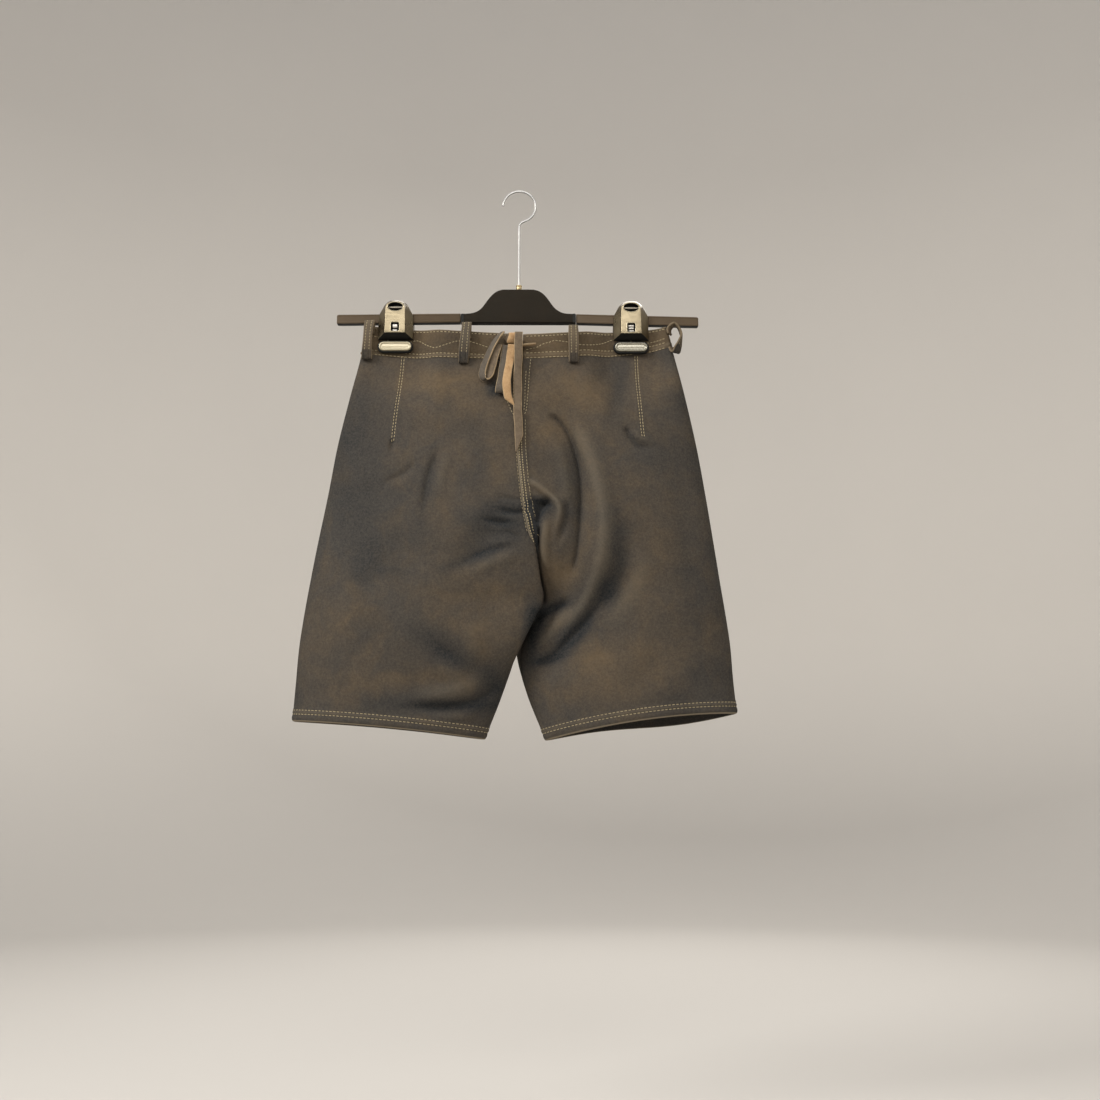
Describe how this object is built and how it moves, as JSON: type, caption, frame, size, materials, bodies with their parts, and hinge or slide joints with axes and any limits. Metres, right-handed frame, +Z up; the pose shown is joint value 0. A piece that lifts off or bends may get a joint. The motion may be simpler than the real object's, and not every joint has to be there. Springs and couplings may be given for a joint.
{
  "type": "lederhosen on a clip hanger",
  "caption": "Short brown leather lederhosen hung by the waistband from a black clip hanger, seen from the seat side, with a laced centre-back slit.",
  "frame": {"origin": "where a rail bears under the top of the hanger's hook", "axes": "+X to the right as seen from the seat side, +Y from the seat to the garment's front, +Z up along the hook's stem"},
  "size_m": [0.4668, 0.0905, 0.614],
  "materials": {
    "leather": "worn nubuck, matt",
    "band_leather": "worn nubuck, matt",
    "lace_leather": "split lace, grain one side and tan flesh side",
    "black_plastic": "satin black-brown",
    "rail_plastic": "worn satin",
    "clip_shell": "glossy gunmetal",
    "pad": "glossy pale",
    "steel": "bright wire",
    "brass": "dull",
    "horn": "brown horn look"
  },
  "bodies": {
    "root": {"back_left": "leather", "back_right": "leather", "front_left": "leather", "front_right": "leather", "fly_placket": "leather", "waistband_left": "band_leather", "waistband_right": "band_leather", "waist_tab": "band_leather", "waist_button": "horn", "belt_loop_side_left": "leather", "belt_loop_back_left": "leather", "belt_loop_back_right": "leather", "belt_loop_side_right": "leather", "belt_loop_front_left": "leather", "belt_loop_front_right": "leather", "lace_loop_near": "lace_leather", "lace_loop_far": "lace_leather", "lace_tail_short": "lace_leather", "lace_tail_long": "lace_leather", "lace_cross": "lace_leather", "lace_knot": "lace_leather", "hanger_body": "black_plastic", "hanger_rail_left": "rail_plastic", "hanger_rail_right": "rail_plastic", "hanger_hook": "steel", "hanger_ferrule": "brass", "clip_left_near_cover": "clip_shell", "clip_left_near_pad": "pad", "clip_left_far_cover": "clip_shell", "clip_left_far_pad": "pad", "clip_right_near_cover": "clip_shell", "clip_right_near_pad": "pad", "clip_right_far_cover": "clip_shell", "clip_right_far_pad": "pad"}
  },
  "joints": []
}
